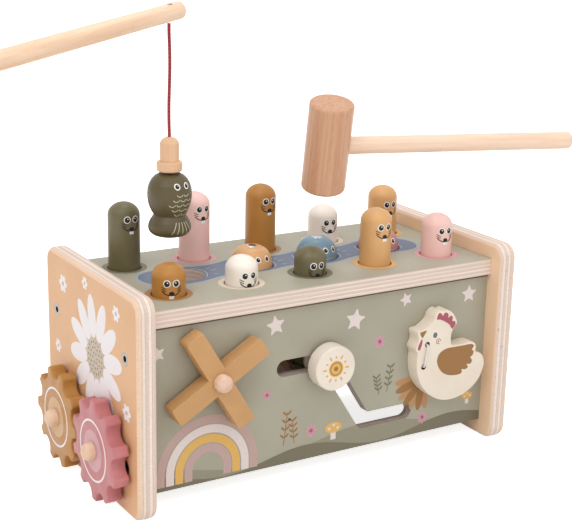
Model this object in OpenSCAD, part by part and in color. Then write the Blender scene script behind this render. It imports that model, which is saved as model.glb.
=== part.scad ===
// Wooden pounding bench: moles that pop up in pairs, fish in a stream of holes,
// and play pieces on the sides, with its mallet and its magnet fishing rod.
// Millimetres, +Z up, -Y is the front. The origin is on the floor, midway between the end panels.

/* [Case] */
// Clear length between the two end panels
inner_length = 282; // [280:1:340]
// Depth of the end panels from front to back
case_depth = 158; // [154:1:190]
// Height of the end panels
case_height = 155; // [150:1:190]
// Thickness of the end panels
end_t = 14; // [12:0.5:18]
// Corner radius of the end panels
end_corner_r = 11; // [4:0.5:20]
// Radius of the rounding along the end panels' edges
end_edge_r = 3.5; // [1:0.5:4]
// Height of the playing surface above the floor
top_z = 143; // [138:1:150]
// Thickness of the top panel
top_t = 12; // [8:0.5:16]
// Distance from an end panel's front edge back to the top panel's edge
top_setback = 12; // [7:0.5:12]
// Distance from an end panel's front edge back to the front panel's face
wall_setback = 15.5; // [14:0.5:16]
// Thickness of the front and back panels
wall_t = 9; // [8:0.5:9]
// Height of the lower edge of the front and back panels
wall_floor_gap = 13; // [4:0.5:18]
// Depth of the grooves in the end panels that hold the top panel and the shelf
groove_depth = 5; // [3:0.5:8]
// Thickness of the guide shelf inside
shelf_t = 6; // [5:0.5:9]

/* [Bolts] */
// Diameter of the bolt shanks
bolt_d = 5; // [4:0.5:6]
// Length of the bolts under the head
bolt_length = 36; // [24:1:50]
// Diameter of the bolt heads
bolt_head_d = 9.5; // [8:0.5:12]
// Thickness of the bolt heads
bolt_head_t = 3.5; // [2.5:0.5:5]
// Height of the lower bolts
bolt_low_z = 34.5; // [22:0.5:40]
// Height of the upper bolts
bolt_high_z = 111; // [95:0.5:120]

/* [Moles] */
// Diameter of a mole
mole_d = 23; // [18:0.5:24]
// Height of a mole's rounded top
mole_dome_h = 9.5; // [5:0.5:11]
// Gap round a mole in the top panel, on each side
mole_hole_gap = 1; // [0.5:0.1:1.5]
// Gap round a mole in the guide shelf, on each side
mole_guide_gap = 0.4; // [0.3:0.1:0.8]
// Distance between neighbouring mole columns
column_pitch = 56; // [52:0.5:60]
// Distance of each mole row from the inner face of its panel
row_inset = 18.5; // [17:0.5:20]
// How far a mole stands above the top at the middle of its travel
mole_mid_h = 35.25; // [30:0.25:45]
// How far a mole travels up and down from the middle
mole_swing = 15.25; // [8:0.25:15.5]
// Diameter of the foot that keeps a mole in the bench
mole_foot_d = 26.6; // [25.5:0.1:28]
// Thickness of the foot
mole_foot_t = 5; // [3:0.5:8]

/* [Rockers] */
// Diameter of the axle that carries the rockers
axle_d = 6; // [4:0.5:8]
// Running gap between the axle and a rocker, on each side
axle_gap = 0.05; // [0.02:0.01:0.1]
// Width of a rocker along the axle
rocker_w = 14; // [8:0.5:20]
// Height of a rocker's arms
rocker_arm_h = 8; // [6:0.5:9]
// How far the arms' upper face lies below the noses' middle, clear of the moles' feet
rocker_arm_drop = 1; // [0.5:0.5:2]
// Radius of the rounded noses that lift the moles
rocker_nose_r = 5; // [4:0.5:6]
// Radius of a rocker's hub
rocker_hub_r = 9; // [7:0.5:12]
// Outer diameter of the spacers on the axle
spacer_d = 11; // [9:0.5:16]

/* [Fish] */
// Largest diameter of a fish
fish_d = 31; // [26:0.5:31.5]
// Length of a fish from nose to tail
fish_length = 44; // [40:0.5:52]
// Diameter of the fish holes in the top panel
fish_hole_d = 33; // [32.5:0.5:36]
// How far a fish's nose stands above the top
fish_show = 14.5; // [12:0.5:18]
// Diameter of the steel disc on a fish's nose
nose_disc_d = 8.5; // [6:0.5:12]
// Thickness of the steel disc
nose_disc_t = 2; // [1:0.5:3]
// How far the disc's domed face stands out of the nose
nose_disc_rise = 0.8; // [0.4:0.1:1.2]

/* [Windmill] */
// Distance of the windmill's hub from the left end panel
mill_from_end = 47.7; // [46:0.1:60]
// Height of the windmill's hub
mill_z = 90; // [70:0.5:90]
// Length across two opposite sails
sail_span = 78; // [50:0.5:78]
// Width of a sail
sail_w = 14; // [10:0.5:18]
// Thickness of the sails
sail_t = 12; // [6:0.5:12]
// Turn of the sails from upright
sail_turn = 31; // [0:1:89]

/* [Gears] */
// Number of teeth on each gear
gear_teeth = 10; // [10:1:10]
// Distance between the gears' middles
gear_spacing = 66.8; // [66:0.1:69]
// Height of the gears' middles
gear_z = 39.3; // [38:0.1:60]
// Outer diameter of a gear over its teeth
gear_d = 73.2; // [72:0.2:74]
// Radius of a tooth's corners
tooth_corner_r = 2.2; // [1.8:0.1:3]
// Radius of the round notches between the teeth
notch_r = 7.2; // [6.8:0.1:8]
// Gap between a tooth's tip and the bottom of its mate's notch
tooth_tip_gap = 1; // [0.8:0.1:2]
// Thickness of a gear
gear_t = 11; // [8:0.5:15]

/* [Pegs] */
// Diameter of the pegs that the windmill and the gears turn on
peg_d = 8; // [6:0.5:10]
// Diameter of a peg's round head
peg_head_d = 12.5; // [12:0.5:18]
// Length of a peg's round head
peg_head_h = 8; // [5:0.5:12]
// Thickness of the washers behind the windmill and the gears
washer_t = 2; // [1:0.5:3]
// Depth of the peg holes in the end panel
peg_depth = 9; // [6:0.5:10]

/* [Slider] */
// Width of the slider's slot
slot_w = 12.5; // [11.5:0.1:14]
// Height of the slot's upper run
slot_high_z = 85.2; // [78:0.1:90]
// Height of the slot's lower run
slot_low_z = 33; // [28:0.5:45]
// Left end of the upper run, from the middle
slot_left_x = -36.2; // [-36.2:0.1:-20]
// Where the upper run turns down
slot_bend_x = -1; // [-4:0.1:4]
// Where the slope meets the lower run
slot_foot_x = 32; // [25:0.5:40]
// Right end of the lower run, from the middle
slot_right_x = 69; // [60:0.5:72]
// Diameter of the slider's disc
slider_d = 32.7; // [28:0.1:32.7]
// Thickness of the slider's disc
slider_t = 12; // [8:0.5:14]
// Radius of the rounding round the slider's disc
slider_edge_r = 1.2; // [0.4:0.1:3]
// Diameter of the slider's stem
stem_d = 9; // [7:0.5:10]
// Diameter of the keeper disc behind the front panel
keeper_d = 22; // [18:0.5:26]
// Thickness of the keeper disc
keeper_t = 2.5; // [1.5:0.1:3]

/* [Hen] */
// Distance of the hen's middle from the right end panel
hen_from_end = 43; // [38:0.5:46]
// Height of the hen's middle
hen_z = 72; // [66:0.5:80]
// Thickness of the hen
hen_t = 12; // [8:0.5:13]
// Diameter of the elastic that holds the hen
elastic_d = 2; // [1.6:0.1:2.6]
// Diameter of the elastic's holes
elastic_hole_d = 3.6; // [3.4:0.1:4.5]

/* [Fishing rod] */
// Diameter of the rod
rod_d = 12; // [10:0.5:14]
// Length of the rod
rod_length = 214; // [120:1:300]
// Distance of the line's hole from the rod's tip
rod_hole_from_tip = 12; // [8:0.5:20]
// Radius of the rounding round the rod's ends
rod_edge_r = 1; // [0.4:0.1:3]
// Diameter of the line
line_d = 2.3; // [1.6:0.1:2.6]
// Diameter of the line's hole in the rod
rod_hole_d = 4; // [3.6:0.1:5]
// Diameter of the bobber's stem
bobber_d = 13.6; // [10:0.2:16]
// Diameter of the bobber's collar
bobber_collar_d = 18; // [16:0.5:22]
// Radius of the rounding round the collar
bobber_edge_r = 1.6; // [0.5:0.1:3]
// Length of the bobber
bobber_h = 24; // [22:0.5:32]
// Length of the bobber's collar
bobber_collar_h = 7.2; // [6:0.1:14]

/* [Mallet] */
// Diameter of the mallet's head
mallet_head_d = 31.5; // [24:0.5:40]
// Length of the mallet's head
mallet_head_h = 66; // [40:1:70]
// Radius of the rounding round the ends of the head
mallet_edge_r = 2; // [0.5:0.5:4]
// Diameter of the handle
handle_d = 12.5; // [10:0.5:16]
// Length of the handle from the middle of the head
handle_reach = 185; // [120:1:260]
// Radius of the rounding round the handle's ends
handle_edge_r = 3; // [0.4:0.1:3]
// Depth of the handle inside the head, past its middle
handle_socket = 8; // [4:0.5:10]

/* [Hidden] */
$fn = 72;

// Small clearances: a piece glued in its hole, a piece resting on a seat, a groove's play, a panel joint
glue_gap = 0.03;
seat_gap = 0.3;
groove_gap = 0.1;
joint_gap = 0.4;
// How far a cut runs past the face it opens
cut = 1;

// Faces of the case
inner_x = inner_length / 2;
outer_x = inner_x + end_t;
half_depth = case_depth / 2;
top_under = top_z - top_t;
top_depth = case_depth - 2 * top_setback;
wall_face = half_depth - wall_setback;
wall_inner = wall_face - wall_t;
wall_mid = wall_face - wall_t / 2;
wall_h = top_under - joint_gap - wall_floor_gap;
shelf_top = top_z + fish_show - fish_length - seat_gap;
shelf_under = shelf_top - shelf_t;
shelf_depth = 2 * wall_inner - 2 * joint_gap;
housed_length = inner_length + 2 * groove_depth;

// Places of the moles and fish, counted from the left
row_offset = wall_inner - row_inset;
columns = 5;
function column_x(i) = (i - (columns + 1) / 2) * column_pitch;
fish_places = columns - 1;
function fish_x(i) = (i - (fish_places + 1) / 2) * column_pitch;
// How far each front mole stands from the middle of its travel, as a share of the travel
front_lift_share = [-0.86, -0.98, -1, 0.42, -0.22];
function front_lift(i) = front_lift_share[i - 1] * mole_swing;

// The mole's length lets its foot meet the shelf at the top of its travel
foot_stop_gap = 0.5;
mole_length = top_z + mole_mid_h + mole_swing - (shelf_under - foot_stop_gap) + mole_foot_t;
mole_hole_d = mole_d + 2 * mole_hole_gap;
mole_guide_d = mole_d + 2 * mole_guide_gap;

// The rockers pivot where their noses meet the moles' feet at the middle of the travel
nose_gap = 0.5;
axle_z = top_z + mole_mid_h - mole_length - nose_gap - rocker_nose_r;
rocker_angle = asin(mole_swing / row_offset);
function rocker_turn(i) = -front_lift_share[i - 1] * rocker_angle;
axle_bore_d = axle_d + 2 * axle_gap;
axle_seat = groove_depth;

// Gears
gear_tip_r = gear_d / 2;
gear_root_r = gear_spacing - gear_tip_r - tooth_tip_gap;
tooth_pitch = 360 / gear_teeth;
notch_middle = (gear_root_r + notch_r) * [cos(tooth_pitch / 2), sin(tooth_pitch / 2)];
corner_x = gear_tip_r - tooth_corner_r;
corner_reach = sqrt(pow(notch_r + tooth_corner_r, 2) - pow(notch_middle.x - corner_x, 2));
corner_y = notch_middle.y - corner_reach;
corner_turn = atan2(corner_reach, notch_middle.x - corner_x);
peg_bore_d = peg_d + 2 * axle_gap;

// Front pieces stand a washer's thickness off the front panel
mill_x = -inner_x + mill_from_end;
hen_x = inner_x - hen_from_end;
front_y = -wall_face;
slider_x = slot_bend_x - 1.5;
slider_z = slot_high_z - (slot_w - stem_d) / 2 + seat_gap;

// Hen outline about its middle, clockwise from the beak
hen_points = [
    [-28.8, 26.8], [-22.6, 28.1], [-15.6, 33.2], [-13.6, 38], [-9.2, 40.6], [-5.8, 39.3], [-2.6, 40],
    [0.9, 38], [3.6, 35], [5.6, 31.6], [6.3, 28.8], [4.4, 26], [1.8, 21.5], [1.8, 13.8], [3.6, 11.7],
    [9.5, 11.2], [20.5, 11.6], [24.6, 9.8], [25.8, 6.2], [25.6, 2.9], [29.4, 1.7], [32.6, -1.2],
    [34.3, -6], [33.6, -12], [29.5, -20], [20, -27.6], [8.2, -31], [-2.8, -30.5], [-12.3, -26.5],
    [-20, -20], [-25, -13], [-28, -4], [-28.8, 4.6], [-28.3, 9.7], [-30.2, 14], [-28.2, 18.3],
    [-27.9, 21.5]];
hen_steps = 4;
elastic_high = [-20, 16];
elastic_low = [-22.5, -1];

// Fishing rod: the place of its tip, its heading and how far it dips away from the tip
rod_tip = [-84.7, 2, 327.3];
rod_heading = 208.1;
rod_dip = 5.3;
// The knot sits in a wider hole in the rod's upper half
knot_d = rod_hole_d * 1.15;
knot_gap = 0.4;
knot_seat_z = rod_d / 2 - knot_d - 0.4;
// The line hangs straight down from the rod's hole
line_x = rod_tip[0] + rod_hole_from_tip * cos(rod_dip) * cos(rod_heading);
line_y = rod_tip[1] + rod_hole_from_tip * cos(rod_dip) * sin(rod_heading);
line_rod_z = rod_tip[2] - rod_hole_from_tip * sin(rod_dip) - rod_d / 2 / cos(rod_dip);
line_top_gap = 0.7;
line_free = 76;
line_seat = 4;
bobber_top_z = line_rod_z - line_top_gap - line_free;
bobber_low_z = bobber_top_z - bobber_h;
// Sideways wander of the line on its way down, in equal steps
line_wander = [0, 0, 0.2, 0.4, 0.5, 0.5, 0.4, 0.2, 0, -0.2, -0.3, -0.3, -0.2, 0, 0];
magnet_d = nose_disc_d;
magnet_t = 3;

// Mallet: the middle of its head and how the hand that holds it turns it
mallet_at = [11.4, -36.5, 234];
mallet_turn = [15.2, 0.2, -17];

// Colours of the paint and the bare wood
sage = "#a9aa97";
peach = "#e3b98c";
ply = "#e6cdb4";
ochre = "#bd8a45";
rose = "#c98088";
pink = "#eab4b4";
olive = "#6b6a4e";
cream = "#f0e8d8";
honey = "#d2a45e";
fish_peach_paint = "#e0b487";
fish_blue_paint = "#9fb0c8";
steel = "#b9bcc0";
beech = "#e8c7a0";
red_wood = "#c58f6e";
red_thread = "#c22f35";
white_thread = "#f4f2f0";
front_paints = [ochre, cream, olive, honey, pink];
back_paints = [olive, pink, ochre, cream, honey];

// Smooth closed curve through a list of points
function curve_at(p0, p1, p2, p3, t) = 0.5 * (2 * p1 + (p2 - p0) * t
    + (2 * p0 - 5 * p1 + 4 * p2 - p3) * t * t + (3 * p1 - p0 - 3 * p2 + p3) * t * t * t);
function closed_curve(p, steps) = [for (i = [0 : len(p) - 1]) for (s = [0 : steps - 1])
    curve_at(p[(i + len(p) - 1) % len(p)], p[i], p[(i + 1) % len(p)], p[(i + 2) % len(p)], s / steps)];

// Half outline of a round bar of radius r and length h whose end edges are rounded to radius e
function bar_outline(r, h, e) = concat([[0, 0]], [for (a = [0 : 22.5 : 90]) [r - e + e * sin(a), e - e * cos(a)]],
    [for (a = [0 : 22.5 : 90]) [r - e + e * cos(a), h - e + e * sin(a)]], [[0, h]]);

// Tube swept along points, whose rings stand square to the way
function unit(v) = v / norm(v);
function way_at(p, i) = unit(p[min(i + 1, len(p) - 1)] - p[max(i - 1, 0)]);
module tube(p, d, side, sides = 8) {
    rings = len(p);
    points = [for (i = [0 : rings - 1])
        let (w = way_at(p, i), u = unit(cross(w, side)), v = cross(u, w))
        for (k = [0 : sides - 1]) p[i] + d / 2 * (cos(360 * k / sides) * u + sin(360 * k / sides) * v)];
    walls = [for (i = [0 : rings - 2]) for (k = [0 : sides - 1])
        let (a = i * sides + k, b = i * sides + (k + 1) % sides)
        each [[a, b, b + sides], [a, b + sides, a + sides]]];
    end = (rings - 1) * sides;
    first_cap = [for (k = [1 : sides - 2]) [0, k + 1, k]];
    last_cap = [for (k = [1 : sides - 2]) [end, end + k, end + k + 1]];
    polyhedron(points, concat(walls, first_cap, last_cap));
}

// Round bar along X or Y
module bar_x(d, x0, x1, y, z) {
    translate([x0, y, z])
        rotate([0, 90, 0])
            cylinder(d = d, h = x1 - x0);
}
module bar_y(d, y0, y1, x, z) {
    translate([x, y1, z])
        rotate([90, 0, 0])
            cylinder(d = d, h = y1 - y0);
}

// Slab in the YZ plane with rounded corners and rounded edges, from x0 to x1
module rounded_end(x0, x1) {
    r = end_corner_r;
    e = end_edge_r;
    t = x1 - x0;
    straight_y = case_depth - 2 * r;
    straight_z = case_height - 2 * r;
    translate([x0, -half_depth + r, e])
        cube([t, straight_y, case_height - 2 * e]);
    translate([x0 + e, -half_depth + r, 0])
        cube([t - 2 * e, straight_y, case_height]);
    translate([x0, -half_depth + e, r])
        cube([t, case_depth - 2 * e, straight_z]);
    translate([x0 + e, -half_depth, r])
        cube([t - 2 * e, case_depth, straight_z]);
    for (x = [x0 + e, x1 - e]) {
        for (z = [e, case_height - e])
            bar_y(2 * e, -half_depth + r, half_depth - r, x, z);
        for (y = [-half_depth + e, half_depth - e])
            translate([x, y, r])
                cylinder(r = e, h = straight_z);
    }
    for (y = [-half_depth + r, half_depth - r])
        for (z = [r, case_height - r]) {
            bar_x(2 * (r - e), x0, x1, y, z);
            bar_x(2 * r, x0 + e, x1 - e, y, z);
            for (x = [x0 + e, x1 - e])
                translate([x, y, z])
                    rotate([0, 90, 0])
                        rotate_extrude()
                            translate([r - e, 0])
                                circle(r = e);
        }
}

// Holes and grooves shared by both end panels, cut from the right-hand one
module end_cuts() {
    groove_x = inner_x - cut;
    translate([groove_x, -top_depth / 2 - groove_gap, top_under - groove_gap])
        cube([groove_depth + cut + groove_gap, top_depth + 2 * groove_gap, top_t + 2 * groove_gap]);
    translate([groove_x, -shelf_depth / 2 - groove_gap, shelf_under - groove_gap])
        cube([groove_depth + cut + groove_gap, shelf_depth + 2 * groove_gap, shelf_t + 2 * groove_gap]);
    bar_x(axle_d + 2 * glue_gap, inner_x - cut, inner_x + axle_seat + groove_gap, 0, axle_z);
    for (y = [-wall_mid, wall_mid])
        for (z = [bolt_low_z, bolt_high_z]) {
            bar_x(bolt_d + 2 * groove_gap, inner_x - cut, outer_x, y, z);
            bar_x(bolt_head_d + 2 * groove_gap, outer_x - bolt_head_t, outer_x + cut, y, z);
        }
}

module left_end_panel() {
    color(peach)
        difference() {
            rounded_end(-outer_x, -inner_x);
            mirror([1, 0, 0])
                end_cuts();
            for (y = [-gear_spacing / 2, gear_spacing / 2])
                bar_x(peg_d + 2 * glue_gap, -outer_x - cut, -outer_x + peg_depth, y, gear_z);
        }
}

module right_end_panel() {
    color(peach)
        difference() {
            rounded_end(inner_x, outer_x);
            end_cuts();
        }
}

module top_panel() {
    color(sage)
        difference() {
            translate([-housed_length / 2, -top_depth / 2, top_under])
                cube([housed_length, top_depth, top_t]);
            for (i = [1 : columns])
                for (y = [-row_offset, row_offset])
                    translate([column_x(i), y, top_under - cut])
                        cylinder(d = mole_hole_d, h = top_t + 2 * cut);
            for (i = [1 : fish_places])
                translate([fish_x(i), 0, top_under - cut])
                    cylinder(d = fish_hole_d, h = top_t + 2 * cut);
        }
}

// Front or back panel with the bolt holes in its ends
module wall_panel(y0) {
    difference() {
        translate([-inner_x, y0, wall_floor_gap])
            cube([inner_length, wall_t, wall_h]);
        for (side = [0, 1])
            mirror([side, 0, 0])
                for (z = [bolt_low_z, bolt_high_z])
                    bar_x(bolt_d + 2 * glue_gap, outer_x - bolt_head_t - bolt_length - cut, outer_x,
                        y0 + wall_t / 2, z);
    }
}

// The slider's slot: a level run, a slope and a lower level run
module slot_run(a, b) {
    length = norm(b - a);
    turn = atan2(b[1] - a[1], b[0] - a[0]);
    for (p = [a, b])
        bar_y(slot_w, front_y - cut, front_y + wall_t + cut, p[0], p[1]);
    translate([a[0], front_y - cut, a[1]])
        rotate([0, -turn, 0])
            translate([0, 0, -slot_w / 2])
                cube([length, wall_t + 2 * cut, slot_w]);
}

module front_panel() {
    color(sage)
        difference() {
            wall_panel(front_y);
            slot_run([slot_left_x, slot_high_z], [slot_bend_x, slot_high_z]);
            slot_run([slot_bend_x, slot_high_z], [slot_foot_x, slot_low_z]);
            slot_run([slot_foot_x, slot_low_z], [slot_right_x, slot_low_z]);
            bar_y(peg_d + 2 * glue_gap, front_y - cut, front_y + wall_t + cut, mill_x, mill_z);
            for (p = [elastic_high, elastic_low])
                bar_y(elastic_hole_d, front_y - cut, front_y + wall_t + cut, hen_x + p[0], hen_z + p[1]);
        }
}

module back_panel() {
    color(sage)
        wall_panel(wall_inner);
}

// Board inside the bench that guides the moles and carries the fish
module guide_shelf() {
    color(ply)
        difference() {
            translate([-housed_length / 2, -shelf_depth / 2, shelf_under])
                cube([housed_length, shelf_depth, shelf_t]);
            for (i = [1 : columns])
                for (y = [-row_offset, row_offset])
                    translate([column_x(i), y, shelf_under - cut])
                        cylinder(d = mole_guide_d, h = shelf_t + 2 * cut);
        }
}

// Bolt along X with its head at the right
module bolt(y, z) {
    socket_d = bolt_d;
    socket_depth = bolt_head_t - 1;
    head_x = outer_x - bolt_head_t;
    difference() {
        union() {
            bar_x(bolt_d, head_x - bolt_length, head_x, y, z);
            bar_x(bolt_head_d, head_x, outer_x, y, z);
        }
        translate([outer_x - socket_depth, y, z])
            rotate([0, 90, 0])
                cylinder(d = socket_d, h = socket_depth + cut, $fn = 6);
    }
}

module panel_bolts() {
    color(steel)
        for (side = [0, 1])
            mirror([side, 0, 0])
                for (y = [-wall_mid, wall_mid])
                    for (z = [bolt_low_z, bolt_high_z])
                        bolt(y, z);
}

// Turned mole: rounded top, straight shank and the foot that stops it at the shelf
module mole(i, y, lift, paint) {
    r = mole_d / 2;
    dome_steps = 12;
    dome = [for (s = [0 : dome_steps]) let (a = 90 * s / dome_steps)
        [r * cos(a), mole_length - mole_dome_h + mole_dome_h * sin(a)]];
    foot = [[0, 0], [mole_foot_d / 2, 0], [mole_foot_d / 2, mole_foot_t], [r, mole_foot_t]];
    color(paint)
        translate([column_x(i), y, top_z + mole_mid_h + lift - mole_length])
            rotate_extrude()
                polygon(concat(foot, dome));
}

module mole_front(i) {
    mole(i, -row_offset, front_lift(i), front_paints[i - 1]);
}

module mole_back(i) {
    mole(i, row_offset, -front_lift(i), back_paints[i - 1]);
}

// Rocker: a lever on the axle whose noses carry a front and a back mole
module rocker(i) {
    color(beech)
        translate([column_x(i), 0, axle_z])
            rotate([rocker_turn(i), 0, 0])
                difference() {
                    union() {
                        translate([-rocker_w / 2, -row_offset, -rocker_arm_h - rocker_arm_drop])
                            cube([rocker_w, 2 * row_offset, rocker_arm_h]);
                        bar_x(2 * rocker_hub_r, -rocker_w / 2, rocker_w / 2, 0, 0);
                        for (y = [-row_offset, row_offset])
                            bar_x(2 * rocker_nose_r, -rocker_w / 2, rocker_w / 2, y, 0);
                    }
                    bar_x(axle_bore_d, -rocker_w / 2 - cut, rocker_w / 2 + cut, 0, 0);
                }
}

module rocker_axle() {
    color(steel)
        bar_x(axle_d, -inner_x - axle_seat, inner_x + axle_seat, 0, axle_z);
}

// Wooden sleeves on the axle that keep the rockers under their moles
module spacer(x0, x1) {
    difference() {
        bar_x(spacer_d, x0, x1, 0, axle_z);
        bar_x(axle_bore_d, x0 - cut, x1 + cut, 0, axle_z);
    }
}

module rocker_spacers() {
    half = rocker_w / 2 + seat_gap;
    color(beech) {
        for (i = [1 : columns - 1])
            spacer(column_x(i) + half, column_x(i + 1) - half);
        spacer(-inner_x, column_x(1) - half);
        spacer(column_x(columns) + half, inner_x);
    }
}

// Turned fish standing on its tail, with its nose at height nose_z
fish_belly = fish_length * 0.32;
fish_waist = fish_length * 0.66;
fish_flare = fish_length * 0.86;
fish_waist_d = fish_d * 0.71;
fish_tail_d = fish_d * 0.965;
function fish_profile() = let (r = fish_d / 2, n = nose_disc_d / 2 + 0.8, rw = fish_waist_d / 2,
    rt = fish_tail_d / 2, tail = fish_length - fish_flare, turn = acos(rw / r))
    concat([[0, 0], [n, 0]],
        [for (a = [15 : 15 : 90]) [n + (r - n) * sin(a), -fish_belly * (1 - cos(a))]],
        [for (s = [1 : 5])
            [r * cos(turn * s / 5), -fish_belly - (fish_waist - fish_belly) * sin(turn * s / 5) / sin(turn)]],
        [for (s = [1 : 4]) [rw + (rt - rw) * sin(22.5 * s), -fish_waist - (fish_flare - fish_waist) * s / 4]],
        [for (a = [15 : 15 : 75]) [rt * (0.5 + 0.5 * cos(a)), -fish_flare - tail * sin(a)]],
        [[rt * 0.5, -fish_length], [0, -fish_length]]);

module fish(x, y, nose_z, paint) {
    color(paint)
        translate([x, y, nose_z])
            difference() {
                rotate_extrude()
                    polygon(fish_profile());
                translate([0, 0, -nose_disc_t])
                    cylinder(d = nose_disc_d + 2 * glue_gap, h = nose_disc_t + cut);
            }
}

// Domed steel disc let into the nose
module nose_disc(x, y, nose_z) {
    r = nose_disc_d / 2;
    dome = [for (a = [0 : 15 : 90]) [r * cos(a), nose_disc_rise * sin(a)]];
    color(steel)
        translate([x, y, nose_z])
            rotate_extrude()
                polygon(concat([[0, -nose_disc_t], [r, -nose_disc_t]], dome));
}

stream_nose_z = top_z + fish_show;
hung_nose_z = bobber_low_z - seat_gap - nose_disc_rise;

// Cross of two flat sails with a bore for the peg
module windmill_sails() {
    y1 = front_y - washer_t;
    color(ochre)
        difference() {
            for (turn = [sail_turn, sail_turn + 90])
                translate([mill_x, y1 - sail_t, mill_z])
                    rotate([0, -turn, 0])
                        translate([-sail_span / 2, 0, -sail_w / 2])
                            cube([sail_span, sail_t, sail_w]);
            bar_y(peg_bore_d, y1 - sail_t - cut, y1 + cut, mill_x, mill_z);
        }
}

// Peg with a round head: shank along +Z from the head's base down to -length
module peg(length) {
    head_steps = 8;
    head = [for (s = [0 : head_steps]) let (a = 90 * s / head_steps)
        [peg_head_d / 2 * cos(a), peg_head_h * (0.35 + 0.65 * sin(a))]];
    color(beech)
        rotate_extrude()
            polygon(concat([[0, -length], [peg_d / 2, -length], [peg_d / 2, 0], [peg_head_d / 2, 0]], head));
}

module washer(thickness) {
    color(ply)
        difference() {
            cylinder(d = peg_head_d, h = thickness);
            translate([0, 0, -cut])
                cylinder(d = peg_bore_d, h = thickness + 2 * cut);
        }
}

module windmill_peg() {
    translate([mill_x, front_y - washer_t - sail_t - seat_gap, mill_z])
        rotate([90, 0, 0])
            peg(washer_t + sail_t + seat_gap + wall_t);
}

module windmill_washer() {
    translate([mill_x, front_y, mill_z])
        rotate([90, 0, 0])
            washer(washer_t - seat_gap);
}

// Puts a gear's own axis along -X at the left end panel's outer face
module at_gear(y) {
    translate([-outer_x, y, gear_z])
        rotate([0, -90, 0])
            children();
}

// Points along an arc from one angle to another
function arc_points(middle, r, from, to, steps) =
    [for (s = [0 : steps])
        let (a = from + (to - from) * s / steps)
            middle + r * [cos(a), sin(a)]];

// Outline of one tooth along +X and of the notch after it
function tooth_points() =
    concat(arc_points([corner_x, -corner_y], tooth_corner_r, -corner_turn, 0, 6),
           arc_points([corner_x, corner_y], tooth_corner_r, 0, corner_turn, 6),
           [for (a = [1 : 11])
               let (t = 180 + corner_turn + (tooth_pitch - 2 * corner_turn) * a / 12)
                   notch_middle + notch_r * [cos(t), sin(t)]]);

function gear_points() =
    [for (k = [0 : gear_teeth - 1])
        let (a = k * tooth_pitch)
            for (p = tooth_points())
                [p.x * cos(a) - p.y * sin(a), p.x * sin(a) + p.y * cos(a)]];

module gear(turn) {
    difference() {
        rotate([0, 0, turn])
            linear_extrude(height = gear_t)
                polygon(gear_points());
        translate([0, 0, -cut])
            cylinder(d = peg_bore_d, h = gear_t + 2 * cut);
    }
}

// A tooth of the ochre gear points at a notch of the rose gear
module gear_ochre() {
    color(ochre)
        at_gear(gear_spacing / 2)
            translate([0, 0, washer_t])
                gear(-90);
}

module gear_rose() {
    color(rose)
        at_gear(-gear_spacing / 2)
            translate([0, 0, washer_t])
                gear(90 + tooth_pitch / 2);
}

module gear_peg(y) {
    at_gear(y)
        translate([0, 0, washer_t + gear_t + seat_gap])
            peg(washer_t + gear_t + seat_gap + peg_depth);
}

module gear_washers() {
    for (y = [-gear_spacing / 2, gear_spacing / 2])
        at_gear(y)
            washer(washer_t - seat_gap);
}

// Disc that a child moves along the slot, its stem and the keeper behind the panel
module slider_disc() {
    y1 = front_y - washer_t;
    color(cream)
        difference() {
            translate([slider_x, y1, slider_z])
                rotate([90, 0, 0])
                    rotate_extrude()
                        polygon(bar_outline(slider_d / 2, slider_t, slider_edge_r));
            bar_y(stem_d + 2 * glue_gap, y1 - slider_t / 2, y1 + cut, slider_x, slider_z);
        }
}

module slider_stem() {
    color(beech)
        bar_y(stem_d, front_y - washer_t - slider_t / 2, front_y + wall_t + seat_gap + keeper_t, slider_x, slider_z);
}

module slider_keeper() {
    y0 = front_y + wall_t + seat_gap;
    color(ply)
        difference() {
            bar_y(keeper_d, y0, y0 + keeper_t, slider_x, slider_z);
            bar_y(stem_d + 2 * glue_gap, y0 - cut, y0 + keeper_t + cut, slider_x, slider_z);
        }
}

// Flat cut-out hen
module hen() {
    color(cream)
        difference() {
            translate([hen_x, front_y - seat_gap, hen_z])
                rotate([90, 0, 0])
                    linear_extrude(height = hen_t)
                        polygon(closed_curve(hen_points, hen_steps));
            for (p = [elastic_high, elastic_low])
                bar_y(elastic_hole_d, front_y - seat_gap - hen_t - cut, front_y, hen_x + p[0], hen_z + p[1]);
        }
}

// Elastic: a stitch across the hen's face, through the hen and the panel to a knot at each end
module hen_elastic() {
    face_y = front_y - seat_gap - hen_t;
    knot_y = front_y + wall_t + elastic_d / 2 + seat_gap;
    stitch_y = face_y - elastic_d / 2 - seat_gap;
    down = unit([elastic_low[0] - elastic_high[0], elastic_low[1] - elastic_high[1]]);
    high = [hen_x + elastic_high[0], hen_z + elastic_high[1]];
    low = [hen_x + elastic_low[0], hen_z + elastic_low[1]];
    function way(p, along, y) = [p[0] + along * down[0], y, p[1] + along * down[1]];
    route = [
        way(high, 0, knot_y), way(high, 0, front_y), way(high, 0, face_y + 2), way(high, 0.5, stitch_y + 0.9),
        way(high, 2, stitch_y), way(high, 5, stitch_y), way(low, -5, stitch_y), way(low, -2, stitch_y),
        way(low, -0.5, stitch_y + 0.9), way(low, 0, face_y + 2), way(low, 0, front_y), way(low, 0, knot_y)];
    color(white_thread) {
        tube(route, elastic_d, [1, 0, 0]);
        for (p = [high, low])
            translate([p[0], knot_y + elastic_d / 2, p[1]])
                sphere(d = elastic_d * 2.2, $fn = 24);
    }
}

// Puts the rod's own axis along +X from its tip to its butt
module at_rod() {
    translate(rod_tip)
        rotate([0, 0, rod_heading])
            rotate([0, rod_dip, 0])
                children();
}

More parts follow.
